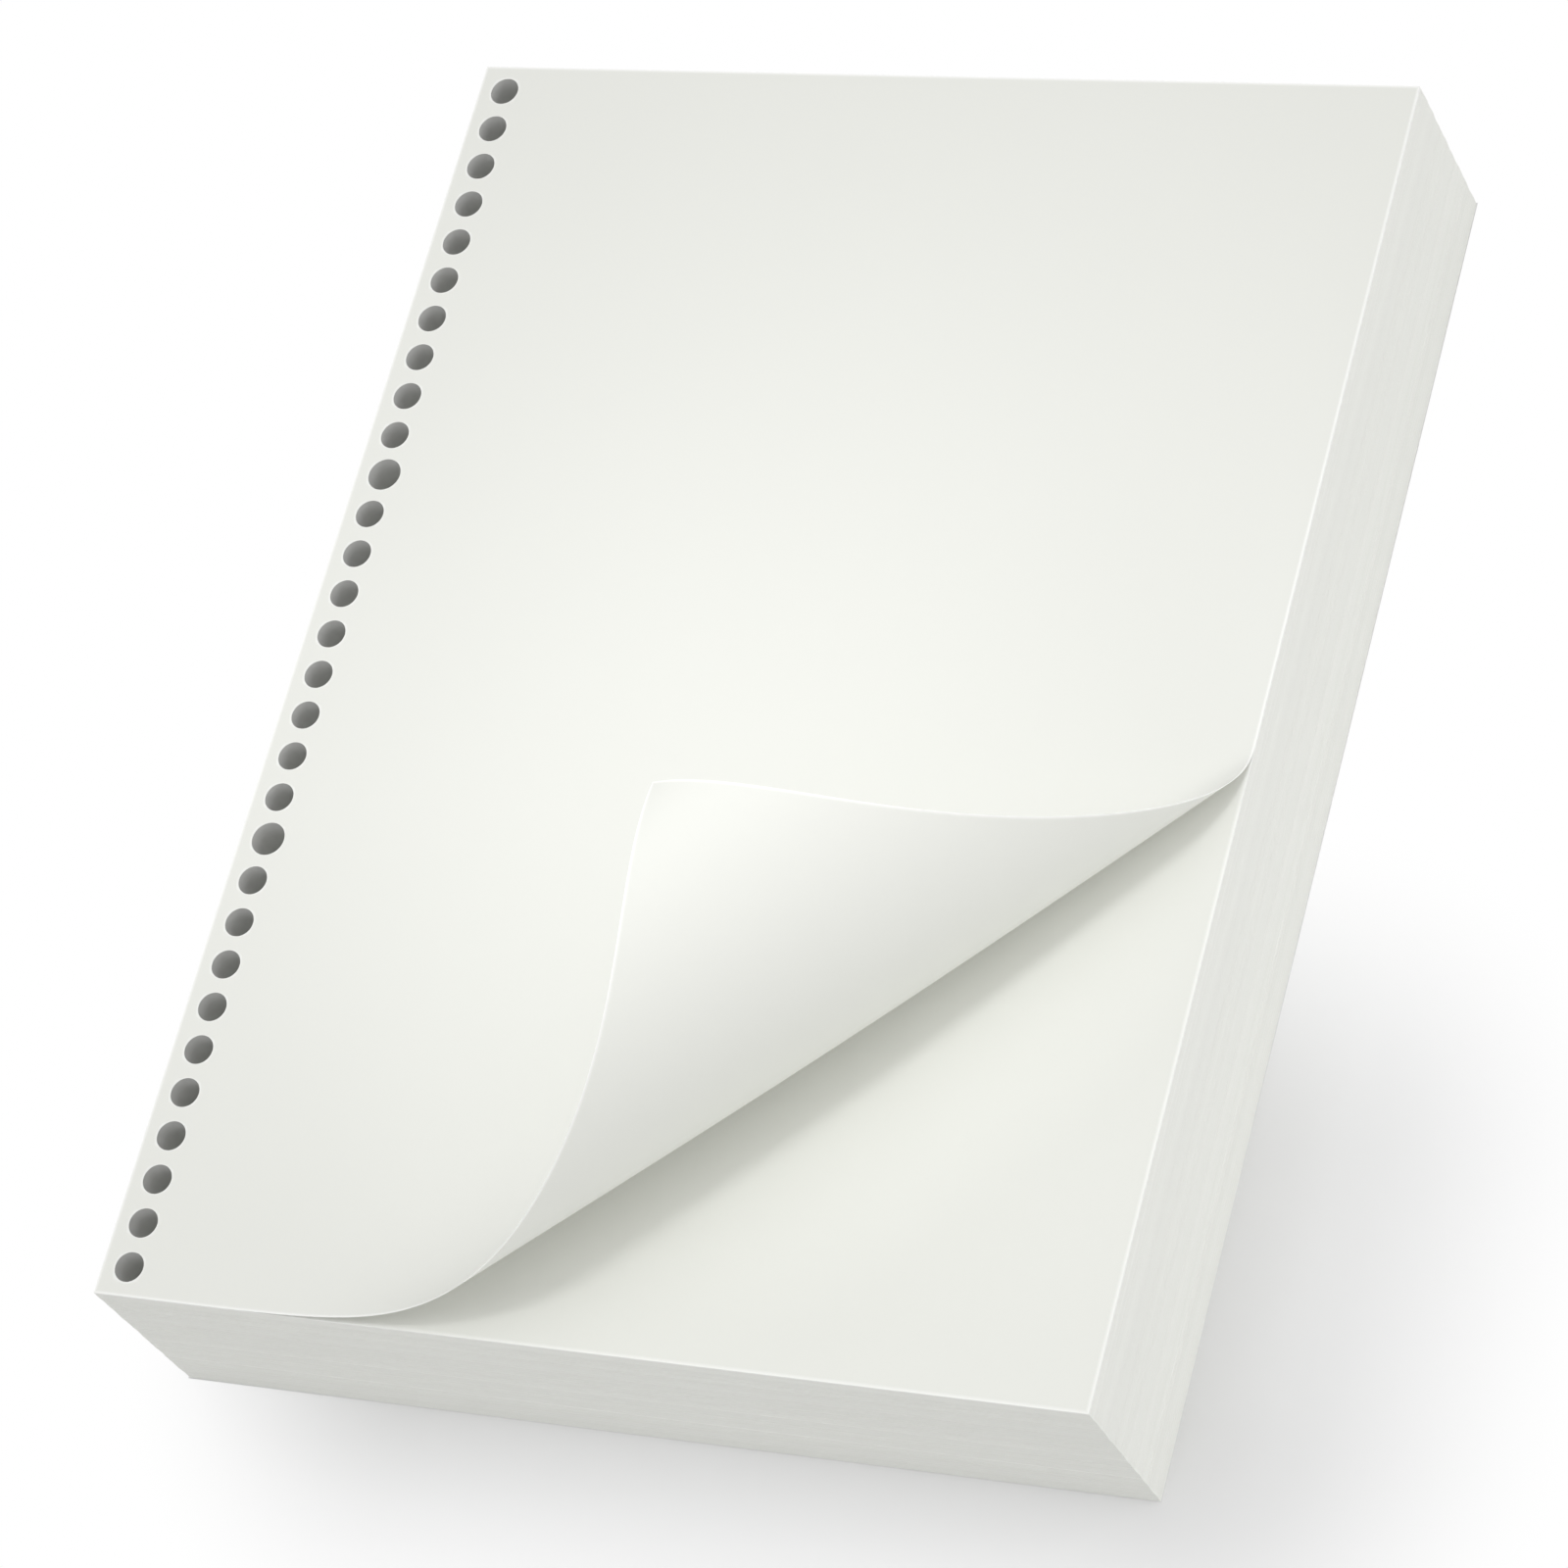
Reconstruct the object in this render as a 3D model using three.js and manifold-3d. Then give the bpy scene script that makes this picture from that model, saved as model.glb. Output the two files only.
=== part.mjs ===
// Loose-leaf refill paper: a squared stack of punched sheets lying flat, with
// the foot corner of the top sheet curled up and over.
//
// Millimetres, +Z up. The origin is the middle of the stack's underside. +X runs
// from the punched edge across the sheet, and +Y from its foot to its head.

import * as THREE from "three";
import { mergeVertices } from "three/addons/utils/BufferGeometryUtils.js";
import Module from "manifold-3d";

const wasm = await Module();
wasm.setup();

// The punched edge
const HOLE_COUNT = 30;
const HOLE_PITCH = 9.5;
const HOLE_DIAMETER = 6.4;
const HOLE_TO_EDGE = 2.9; // paper left between a hole and the punched edge
const HOLE_END_MARGIN = 6.2; // from the last hole's centre to the head or foot
const WIDE_HOLE_DIAMETER = 7.4;
const WIDE_HOLES = [11, 20]; // counted from the head
const HOLE_SIDES = 24;

// The sheet
const SHEET_WIDTH = 212.5;
const SHEET_LENGTH = (HOLE_COUNT - 1) * HOLE_PITCH + 2 * HOLE_END_MARGIN;
const SHEET_CALIPER = 0.11;

// The stack: the sheets are jogged square in lifts that never line up exactly
const LIFT_COUNT = 8;
const SHEETS_PER_LIFT = 50;
const LIFT_JOG = 0.25; // how far a lift may stand out of line

// The curl: where it leaves the stack, how its rulings fan and how tightly it bends
const CURL_UP_EDGE = 138.5; // from the foot corner up the side edge
const CURL_CLEAR_OF_HOLES = 1.9; // flat paper left along the foot beside the holes
const CURL_FAN = 0.00788; // the rulings' first turn, in radians a millimetre
const CURL_FAN_BACK = 0.00006; // and how that turn dies away, per millimetre more
const CURL_LIFT_OFF = 21; // the stretch over which the bend sets in
const CURL_SLACK_RADIUS = 68.4; // the widest bend, half way round
const CURL_SLACK_AT = 60.7; // how far from the first ruling that is
const CURL_TIP_RADIUS = 13.6; // the bend at the corner itself
const CURL_STRIPS = 44;

const PAPER_COLOR = 0xf1f2ec;
const PAPER_ROUGHNESS = 0.85;

const stackHeight = LIFT_COUNT * SHEETS_PER_LIFT * SHEET_CALIPER;
const halfWidth = SHEET_WIDTH / 2;
const halfLength = SHEET_LENGTH / 2;
const punchedStrip = HOLE_TO_EDGE + WIDE_HOLE_DIAMETER + CURL_CLEAR_OF_HOLES;
const curlAlongFoot = SHEET_WIDTH - punchedStrip;

function paper() {
  return new THREE.MeshStandardMaterial({
    color: PAPER_COLOR,
    roughness: PAPER_ROUGHNESS,
    metalness: 0,
  });
}

// Centre and radius of each punched hole, from the head down. The wide holes
// keep the same strip of paper outside them, so their centres sit further in.
function punchedHoles() {
  return Array.from({ length: HOLE_COUNT }, (_, i) => {
    const wide = WIDE_HOLES.includes(i + 1);
    const radius = (wide ? WIDE_HOLE_DIAMETER : HOLE_DIAMETER) / 2;
    const x = -halfWidth + HOLE_TO_EDGE + radius;
    const y = halfLength - HOLE_END_MARGIN - i * HOLE_PITCH;
    return { centre: new THREE.Vector2(x, y), radius };
  });
}

function solidOf(geometry) {
  geometry.deleteAttribute("normal");
  geometry.deleteAttribute("uv");
  const merged = mergeVertices(geometry, 1e-4);
  return new wasm.Manifold(
    new wasm.Mesh({
      numProp: 3,
      vertProperties: merged.attributes.position.array,
      triVerts: new Uint32Array(merged.index.array),
    }),
  );
}

function geometryOf(solid) {
  const mesh = solid.getMesh();
  const geometry = new THREE.BufferGeometry();
  const positions = new THREE.BufferAttribute(mesh.vertProperties, 3);
  geometry.setAttribute("position", positions);
  geometry.setIndex(new THREE.BufferAttribute(mesh.triVerts, 1));
  geometry.computeVertexNormals();
  return geometry;
}

// The stack below the top sheet. Each lift is a plain slab, jogged a little out
// of line, and every hole is punched straight through all of them.
function sheetBlock() {
  const lift = stackHeight / LIFT_COUNT;
  let block = null;
  for (let i = 0; i < LIFT_COUNT; i++) {
    const slab = new THREE.BoxGeometry(SHEET_WIDTH, SHEET_LENGTH, lift);
    const turn = 2.4 * i;
    slab.translate(LIFT_JOG * Math.sin(turn), LIFT_JOG * Math.cos(turn), (i + 0.5) * lift);
    block = block ? block.add(solidOf(slab)) : solidOf(slab);
  }
  for (const { centre, radius } of punchedHoles()) {
    const punch = new THREE.CylinderGeometry(radius, radius, 2 * stackHeight, HOLE_SIDES);
    punch.rotateX(Math.PI / 2);
    punch.translate(centre.x, centre.y, stackHeight / 2);
    block = block.subtract(solidOf(punch));
  }
  return geometryOf(block);
}

// How sharply the sheet bends at a distance from the first ruling, as one over the
// radius: it sets in smoothly, slackens half way round and tightens to the corner.
function bendAt(distance, reach) {
  const slack = 1 / CURL_SLACK_RADIUS;
  const tightening = (1 / CURL_TIP_RADIUS - slack) / (reach - CURL_SLACK_AT) ** 2;
  const bend = slack + tightening * (distance - CURL_SLACK_AT) ** 2;
  return bend * THREE.MathUtils.smoothstep(distance, 0, CURL_LIFT_OFF);
}

// The rulings of the curl, flat on the page: each is a straight line from a point
// on the side edge to a point on the foot. They start where the sheet leaves the
// stack, fan as they step towards the corner, and end at the corner itself.
function curlRulings() {
  const corner = new THREE.Vector2(halfWidth, -halfLength);
  const first = {
    edge: new THREE.Vector2(halfWidth, -halfLength + CURL_UP_EDGE),
    foot: new THREE.Vector2(halfWidth - curlAlongFoot, -halfLength),
  };
  const middle = first.edge.clone().add(first.foot).multiplyScalar(0.5);
  const along = first.foot.clone().sub(first.edge).normalize();
  const across = new THREE.Vector2(-along.y, along.x);

  // the ruling that crosses the middle line at a distance from the first one
  const rulingAt = (distance) => {
    const fan = CURL_FAN * distance - CURL_FAN_BACK * distance * distance;
    const start = middle.clone().addScaledVector(across, distance);
    const way = along.clone().rotateAround(new THREE.Vector2(), fan);
    const toEdge = (halfWidth - start.x) / way.x;
    const toFoot = (-halfLength - start.y) / way.y;
    return {
      distance,
      fan,
      edge: new THREE.Vector2(halfWidth, start.y + toEdge * way.y),
      foot: new THREE.Vector2(start.x + toFoot * way.x, -halfLength),
    };
  };

  // the last ruling passes through the corner
  let near = 0;
  let far = corner.clone().sub(middle).dot(across) * 1.5;
  for (let i = 0; i < 50; i++) {
    const half = (near + far) / 2;
    if (rulingAt(half).edge.y > corner.y) near = half;
    else far = half;
  }
  return Array.from({ length: CURL_STRIPS }, (_, i) => rulingAt((near * i) / CURL_STRIPS));
}

// Folds the page a little at each ruling in turn, which bends it without
// stretching. Each fold turns all of the page beyond it about that ruling.
function curledPoints() {
  const place = new THREE.Matrix4();
  const rulings = curlRulings();
  const spacing = rulings[1].distance;
  const reach = spacing * CURL_STRIPS;
  const points = [];
  let normal = new THREE.Vector3(0, 0, 1);
  for (const { distance, fan, edge, foot } of rulings) {
    const from = new THREE.Vector3(foot.x, foot.y, 0);
    const to = new THREE.Vector3(edge.x, edge.y, 0);
    const axis = from.clone().sub(to).normalize();
    const angle = (bendAt(distance, reach) * spacing) / Math.cos(fan);
    const fold = new THREE.Matrix4()
      .makeTranslation(from)
      .multiply(new THREE.Matrix4().makeRotationAxis(axis, angle))
      .multiply(new THREE.Matrix4().makeTranslation(from.clone().negate()));
    place.multiply(fold);
    const next = new THREE.Vector3(0, 0, 1).transformDirection(place);
    const lean = normal.clone().add(next).normalize();
    points.push([to.applyMatrix4(place), lean], [from.applyMatrix4(place), lean]);
    normal = next;
  }
  const tip = new THREE.Vector3(halfWidth, -halfLength, 0).applyMatrix4(place);
  points.push([tip, normal]);
  return points;
}

// A closed skin one caliper thick over a triangulated sheet. Each point holds its
// place on the underside and the way the paper faces there; a wall closes every
// edge that only one triangle has.
function skin(points, triangles) {
  const positions = [];
  for (const [under] of points) positions.push(...under);
  for (const [under, facing] of points)
    positions.push(...under.clone().addScaledVector(facing, SHEET_CALIPER));
  const over = points.length;
  const key = (a, b) => a * over + b;
  const edges = new Set();
  const index = [];
  for (const [a, b, c] of triangles) {
    index.push(a + over, b + over, c + over, c, b, a);
    edges.add(key(a, b)).add(key(b, c)).add(key(c, a));
  }
  for (const edge of edges) {
    const a = Math.floor(edge / over);
    const b = edge % over;
    if (!edges.has(key(b, a))) index.push(a, b, b + over, a, b + over, a + over);
  }
  const geometry = new THREE.BufferGeometry();
  geometry.setAttribute("position", new THREE.Float32BufferAttribute(positions, 3));
  geometry.setIndex(index);
  geometry.computeVertexNormals();
  return geometry;
}

// The top sheet: flat on the stack up to the first ruling, and curled beyond it.
function topSheet() {
  const up = new THREE.Vector3(0, 0, 1);
  const outline = [
    new THREE.Vector2(halfWidth, -halfLength + CURL_UP_EDGE),
    new THREE.Vector2(halfWidth, halfLength),
    new THREE.Vector2(-halfWidth, halfLength),
    new THREE.Vector2(-halfWidth, -halfLength),
    new THREE.Vector2(halfWidth - curlAlongFoot, -halfLength),
  ];
  const holes = punchedHoles().map(({ centre, radius }) =>
    Array.from({ length: HOLE_SIDES }, (_, i) => {
      const angle = (-2 * Math.PI * i) / HOLE_SIDES;
      return new THREE.Vector2(
        centre.x + radius * Math.sin(angle),
        centre.y + radius * Math.cos(angle),
      );
    }).reverse(),
  );
  const flat = [...outline, ...holes.flat()];
  const triangles = THREE.ShapeUtils.triangulateShape(outline, holes);
  const points = flat.map((p) => [new THREE.Vector3(p.x, p.y, 0), up]);

  // the curl's points follow on, apart from the first ruling, which the flat part has
  const numbers = [0, outline.length - 1];
  for (const point of curledPoints().slice(2)) numbers.push(points.push(point) - 1);
  for (let i = 0; i + 3 < numbers.length - 1; i += 2) {
    const [edge, foot, nextEdge, nextFoot] = numbers.slice(i, i + 4);
    triangles.push([edge, foot, nextFoot], [edge, nextFoot, nextEdge]);
  }
  triangles.push(numbers.slice(-3));
  return skin(points, triangles);
}

const part = new THREE.Group();

const block = new THREE.Mesh(sheetBlock(), paper());
block.name = "sheet_block";
part.add(block);

const top = new THREE.Mesh(topSheet(), paper());
top.name = "top_sheet";
top.position.z = stackHeight;
part.add(top);

export default part;
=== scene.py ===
"""Loose-leaf refill paper: a squared stack of punched sheets with a curled top corner."""

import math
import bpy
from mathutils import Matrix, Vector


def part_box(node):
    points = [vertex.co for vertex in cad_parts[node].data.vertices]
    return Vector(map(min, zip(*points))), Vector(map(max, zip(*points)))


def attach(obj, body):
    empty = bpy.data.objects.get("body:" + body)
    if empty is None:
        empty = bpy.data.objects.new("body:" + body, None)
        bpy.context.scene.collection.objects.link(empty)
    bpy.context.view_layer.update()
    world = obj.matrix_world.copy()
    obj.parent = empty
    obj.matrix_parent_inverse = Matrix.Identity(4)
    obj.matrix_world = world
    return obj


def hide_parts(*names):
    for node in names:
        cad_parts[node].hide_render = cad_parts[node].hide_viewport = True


bl_info = {
    "name": "Loose-leaf refill paper",
    "version": (1, 0, 0),
    "blender": (4, 5, 0),
    "location": "View3D > Sidebar > Refill paper",
    "description": "Builds a stack of punched loose-leaf sheets with the top one curled over",
    "category": "Object",
}

import bpy
import numpy as np
from mathutils import Matrix, Vector

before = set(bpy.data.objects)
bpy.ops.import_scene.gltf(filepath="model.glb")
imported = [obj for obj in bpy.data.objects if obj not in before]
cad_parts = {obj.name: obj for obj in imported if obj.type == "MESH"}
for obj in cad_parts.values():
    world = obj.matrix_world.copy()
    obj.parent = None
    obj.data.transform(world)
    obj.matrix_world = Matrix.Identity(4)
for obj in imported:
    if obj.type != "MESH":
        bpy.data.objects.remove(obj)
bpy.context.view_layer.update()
_, STACK_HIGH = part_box("sheet_block")
STACK_TOP = STACK_HIGH[2]

# Counted from the head: these two holes are punched wider than the rest
WIDE_HOLES = (11, 20)

# How finely the surfaces are laid out
CELL_STEPS = 12  # along each side of the rectangle round a hole
RING_SHARES = (0.0, 0.16, 0.45, 1.0)  # the rings between a hole's rim and its rectangle
FLAT_STEPS = 48  # across the flat part, from the end of the curl's foot to the side
CURL_FOLDS = 168
CURL_TRIES = 20001  # places at which the curl's reach is looked for
TUBE_STEPS = 20  # down each hole
SHARP_ANGLE = math.radians(30)
MICROMETRE = 1e-6

# Small lengths on the sheets, in metres
STRIP_MARGIN = 0.0019  # flat paper beside the widest holes
STRIP_INSET = 0.0006  # from the stack's outline to its punched strip
SEAM_INSET = 0.00035  # from the curl's foot to the top sheet's punched strip
SHEET_GAP = 0.00002  # air under the top sheet

# How the stack's sheets wander: turns are radians a sheet, and starts are radians
WANDER_TURNS = (0.021, 0.057, 0.131)
WANDER_STARTS_X = (0.4, 2.1, 4.0)
WANDER_STARTS_Y = (3.0, 0.7, 5.2)
STRAY_SEED = 30
FAR_STRAY_SHARE = 1 / 16  # of the sheets stray further than the rest
FAR_STRAY = 3.0  # by this many times
SETTLED_SHEETS = 30  # the topmost sheets, which lie straighter
SETTLED_STRAY = 0.35  # the share of the stray that is left at the top

# Painted highlights along the paper's edges, round the top sheet's holes and along the top of the
# stack's sides: their widths, and how strong they are
SHEET_HIGHLIGHT_WIDTH = 0.00065
STACK_HIGHLIGHT_WIDTH = 0.0008
SIDE_HIGHLIGHT_DEPTH = 0.0007  # down the stack's sides, from its top
STACK_HIGHLIGHT_STRENGTH = 0.75
HOLE_RIM_HIGHLIGHT = 0.7

# The holes' grey is partly the punched fibre's darker tone and partly painted shade
HOLE_SHADE_FADE = 0.006  # the depth in a hole over which its grey falls by half
FORMATION = 0.012  # how much the paper's cloudiness shows
GRAIN = 0.012
BUMP_STRENGTH = 0.12
BUMP_DISTANCE = 0.00002

# The floor's painted shadow, a grey patch in which the stack's real shadow shows too:
# a rectangle's middle and half sizes, and its soft border
SHADOW_MIDDLE = (0.03, -0.1)
SHADOW_HALF = (0.08, 0.025)
SHADOW_BORDER = 0.075
FLOOR_HALF = 4.0
FLOOR_CORNERS = ((-1, -1), (1, -1), (1, 1), (-1, 1))

# The square lamps: name, side and place. Each is as strong as the studio setting
# of its name, and all face the stack.
LAMPS = (
    ("Overhead", 2.0, (0.0, 0.0, 2.6)),
    ("Left", 0.95, (-1.12, 0.8, 1.45)),
    ("Right", 1.3, (1.75, 0.32, 0.55)),
    ("Corner", 1.3, (1.2, -1.5, 1.35)),
    ("Foot", 1.3, (0.0, -1.9, 0.8)),
)
LAMP_AIM = (0.0, 0.0, 0.02)
POOL_PLACE = (0.10, -0.10, 1.3)
POOL_AIM = (0.012, -0.025, 0.044)
POOL_SPREAD = math.radians(16)
POOL_RADIUS = 0.12

WHITE = (1.0, 1.0, 1.0, 1.0)
FLOOR_CARD = (0.84, 0.84, 0.84, 1.0)
FLOOR_PAINTED_SHADOW = (0.735, 0.735, 0.735, 1.0)


class PaperSheetSizes(bpy.types.PropertyGroup):
    """Sizes of one sheet and of its punched edge."""

    width: bpy.props.FloatProperty(
        name="Width",
        description="From the punched edge across the sheet",
        default=0.2125,
        unit="LENGTH",
    )
    length: bpy.props.FloatProperty(
        name="Length",
        description="From the foot of the sheet to its head",
        default=0.2879,
        unit="LENGTH",
    )
    caliper: bpy.props.FloatProperty(
        name="Caliper",
        description="Thickness of one sheet",
        default=0.00011,
        precision=5,
        unit="LENGTH",
    )
    hole_count: bpy.props.IntProperty(
        name="Holes",
        description="Holes along the punched edge",
        default=30,
    )
    hole_pitch: bpy.props.FloatProperty(
        name="Hole pitch",
        description="From one hole's centre to the next",
        default=0.0095,
        precision=4,
        unit="LENGTH",
    )
    hole_diameter: bpy.props.FloatProperty(
        name="Hole diameter",
        description="Diameter of most holes",
        default=0.0064,
        precision=4,
        unit="LENGTH",
    )
    wide_hole_diameter: bpy.props.FloatProperty(
        name="Wide hole diameter",
        description="Diameter of the two wide holes",
        default=0.0074,
        precision=4,
        unit="LENGTH",
    )
    hole_to_edge: bpy.props.FloatProperty(
        name="Hole to edge",
        description="Paper left between a hole and the punched edge",
        default=0.0029,
        precision=4,
        unit="LENGTH",
    )
    hole_end_margin: bpy.props.FloatProperty(
        name="End margin",
        description="From the last hole's centre to the head or the foot",
        default=0.0062,
        precision=4,
        unit="LENGTH",
    )


class PaperStackSizes(bpy.types.PropertyGroup):
    """How the sheets of the stack lie on each other."""

    jog: bpy.props.FloatProperty(
        name="Jog",
        description="How far groups of sheets wander out of line",
        default=0.00003,
        precision=5,
        unit="LENGTH",
    )
    stray: bpy.props.FloatProperty(
        name="Stray",
        description="How far single sheets stand out of their group",
        default=0.00001,
        precision=6,
        unit="LENGTH",
    )


class PaperCurlSizes(bpy.types.PropertyGroup):
    """Where the corner curl starts, and how its bend runs to the tip."""

    up_edge: bpy.props.FloatProperty(
        name="Up the edge",
        description="From the foot corner up the side edge to the first ruling",
        default=0.1385,
        unit="LENGTH",
    )
    along_foot: bpy.props.FloatProperty(
        name="Along the foot",
        description="From the same corner along the foot to the first ruling",
        default=0.2003,
        unit="LENGTH",
    )
    fan: bpy.props.FloatProperty(
        name="Fan",
        description="First turn of the rulings, in radians a metre",
        default=7.88,
    )
    fan_back: bpy.props.FloatProperty(
        name="Fan back",
        description="How that turn dies away, per metre more",
        default=60.0,
    )
    lift_off: bpy.props.FloatProperty(
        name="Lift-off",
        description="Stretch over which the bend sets in",
        default=0.021,
        unit="LENGTH",
    )
    slack_radius: bpy.props.FloatProperty(
        name="Slack radius",
        description="Widest bend, half way round",
        default=0.0684,
        unit="LENGTH",
    )
    slack_at: bpy.props.FloatProperty(
        name="Slack at",
        description="Distance of the widest bend from the first ruling",
        default=0.0607,
        unit="LENGTH",
    )
    tip_radius: bpy.props.FloatProperty(
        name="Tip radius",
        description="Bend at the corner itself",
        default=0.0136,
        unit="LENGTH",
    )
    belly: bpy.props.FloatProperty(
        name="Belly",
        description="How far the roll stands proud half way along its rulings",
        default=0.0018,
        precision=4,
        unit="LENGTH",
    )


class PaperColours(bpy.types.PropertyGroup):
    """Colours of the paper, with its painted highlight and the partly painted shade in its holes.
    """

    face: bpy.props.FloatVectorProperty(
        name="Face",
        description="The sheets' faces",
        default=(0.820, 0.827, 0.784),
        subtype="COLOR",
        min=0.0,
        max=1.0,
    )
    cut: bpy.props.FloatVectorProperty(
        name="Cut edges",
        description="The sides of the stack, which are cut edges of paper",
        default=(0.842, 0.848, 0.810),
        subtype="COLOR",
        min=0.0,
        max=1.0,
    )
    # Rim: a painted highlight along the paper's edges, down the top sheet's cut walls and round its
    # holes
    rim: bpy.props.FloatVectorProperty(
        name="Rim",
        description="The thin line that catches the light along an edge",
        default=(0.990, 0.993, 0.975),
        subtype="COLOR",
        min=0.0,
        max=1.0,
    )
    # Inside the holes: a grey that is partly the punched fibre's darker tone and partly painted
    # shade
    hole: bpy.props.FloatVectorProperty(
        name="Inside the holes",
        description="The punched walls, near the top of the stack",
        default=(0.61, 0.612, 0.602),
        subtype="COLOR",
        min=0.0,
        max=1.0,
    )


class PaperStudio(bpy.types.PropertyGroup):
    """Strengths of the studio's light."""

    sky: bpy.props.FloatProperty(
        name="Sky",
        description="Even light from all round",
        default=0.368,
    )
    overhead: bpy.props.FloatProperty(
        name="Overhead",
        description="Large soft light straight above",
        default=23.0,
        unit="POWER",
    )
    pool: bpy.props.FloatProperty(
        name="Pool",
        description="Round light that fades out towards the page's corners",
        default=18.5,
        unit="POWER",
    )
    left: bpy.props.FloatProperty(
        name="Left",
        description="Light from the side of the holes, which throws the shadow",
        default=6.3,
        unit="POWER",
    )
    right: bpy.props.FloatProperty(
        name="Right",
        description="Low light on the long cut side",
        default=11.2,
        unit="POWER",
    )
    corner: bpy.props.FloatProperty(
        name="Corner",
        description="Light on the back of the curled corner",
        default=2.0,
        unit="POWER",
    )
    foot: bpy.props.FloatProperty(
        name="Foot",
        description="Low light on the short cut side",
        default=5.8,
        unit="POWER",
    )


class PaperSettings(bpy.types.PropertyGroup):
    """All the settings of the refill paper."""

    sheet: bpy.props.PointerProperty(type=PaperSheetSizes)
    stack: bpy.props.PointerProperty(type=PaperStackSizes)
    curl: bpy.props.PointerProperty(type=PaperCurlSizes)
    colours: bpy.props.PointerProperty(type=PaperColours)
    studio: bpy.props.PointerProperty(type=PaperStudio)


# Surfaces


def weld(places, triangles, *carried):
    """Points that lie on the same micrometre become one.

    A point's key is its place divided by a micrometre and rounded. Triangles that
    lose a corner this way are dropped. carried holds further arrays with one row
    a point, which keep the row of the first point of each key.
    """
    keys = np.round(places / MICROMETRE).astype(np.int64)
    _, first, number = np.unique(keys, axis=0, return_index=True, return_inverse=True)
    triangles = number.reshape(-1)[triangles]
    a, b, c = triangles.T
    whole = (a != b) & (b != c) & (c != a)
    return places[first], triangles, whole, *(array[first] for array in carried)


def joined(*surfaces):
    """Several surfaces as one, each given as its points and its triangles."""
    points, faces = zip(*surfaces)
    starts = np.cumsum([0, *map(len, points[:-1])])
    faces = [part + start for part, start in zip(faces, starts)]
    return np.concatenate(points), np.concatenate(faces)


def at_height(flat, z):
    """Flat points as points in space, all at one height."""
    return np.column_stack((flat, np.full(len(flat), z)))


def grid_triangles(rows, columns):
    """Two triangles for each cell of a grid of points that is stored row by row.

    They turn counter-clockwise where rows step to the left of the columns' way.
    """
    number = np.arange(rows * columns).reshape(rows, columns)
    a, b = number[:-1, :-1], number[:-1, 1:]
    d, c = number[1:, :-1], number[1:, 1:]
    return np.stack((a, b, c, a, c, d), axis=-1).reshape(-1, 3)


def hole_places(sheet):
    """Centres and radii of the holes, from the head down.

    A centre's height is half the length less the end margin, less the pitch times
    the holes before it. Its distance in from the edge is the strip of paper that
    each hole leaves there plus the hole's own radius.
    """
    before = np.arange(sheet.hole_count)
    wide = np.isin(before + 1, WIDE_HOLES)
    radius = np.where(wide, sheet.wide_hole_diameter, sheet.hole_diameter) / 2
    x = -sheet.width / 2 + sheet.hole_to_edge + radius
    y = sheet.length / 2 - sheet.hole_end_margin - before * sheet.hole_pitch
    return np.column_stack((x, y)), radius


def strip_levels(sheet, low, high):
    """How far up the sheet the holes' rectangles part, and the steps in between.

    A rectangle runs half a pitch to each side of its hole, and the first and last
    run on to low and high. Each is stepped evenly. Returns the steps and then the
    lines between the rectangles, from the foot up.
    """
    centres, _ = hole_places(sheet)
    up = centres[::-1, 1]
    lines = np.concatenate(([low], (up[1:] + up[:-1]) / 2, [high]))
    part = np.arange(CELL_STEPS) / CELL_STEPS
    steps = lines[:-1, None] + (lines[1:] - lines[:-1])[:, None] * part
    return np.append(steps.ravel(), high), lines


def punched_strip(sheet, left, right, low, high):
    """The strip of paper that holds the holes, as rings round each hole.

    Each hole has a rectangle of its own. A point of a ring is the mix of a point
    on the rectangle and the point of the hole's circle in the same direction from
    the hole's centre, by the ring's share. Returns the flat points, the triangles,
    which points are on a hole's rim, and the rim points as holes by sides.
    """
    centres, radius = hole_places(sheet)
    _, lines = strip_levels(sheet, low, high)
    centres, radius = centres[::-1], radius[::-1]
    # once round a rectangle, as shares of its width and of its height
    rise = np.arange(CELL_STEPS) / CELL_STEPS
    none, whole = np.zeros(CELL_STEPS), np.ones(CELL_STEPS)
    walk_x = np.concatenate((rise, whole, 1 - rise, none))
    walk_y = np.concatenate((none, rise, whole, 1 - rise))
    x = np.broadcast_to(left + (right - left) * walk_x, (len(radius), len(walk_x)))
    y = lines[:-1, None] + (lines[1:] - lines[:-1])[:, None] * walk_y
    angle = np.arctan2(y - centres[:, 1:], x - centres[:, :1])
    outer = np.stack((x, y), axis=-1)
    turn = np.stack((np.cos(angle), np.sin(angle)), axis=-1)
    rim = centres[:, None, :] + radius[:, None, None] * turn
    share = np.array(RING_SHARES)[None, :, None, None]
    rings = rim[:, None] * (1 - share) + outer[:, None] * share
    holes, bands, sides, _ = rings.shape
    closed = np.concatenate((rings, rings[:, :, :1]), axis=2)
    flat = closed.reshape(-1, 2)
    # rows step outwards, so each cell's turn is reversed to face up
    one = grid_triangles(bands, sides + 1)[:, ::-1]
    start = np.arange(holes)[:, None, None] * bands * (sides + 1)
    on_rim = np.zeros((holes, bands, sides + 1))
    on_rim[:, 0] = 1.0
    return flat, (one[None] + start).reshape(-1, 3), on_rim.ravel(), rim


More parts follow.
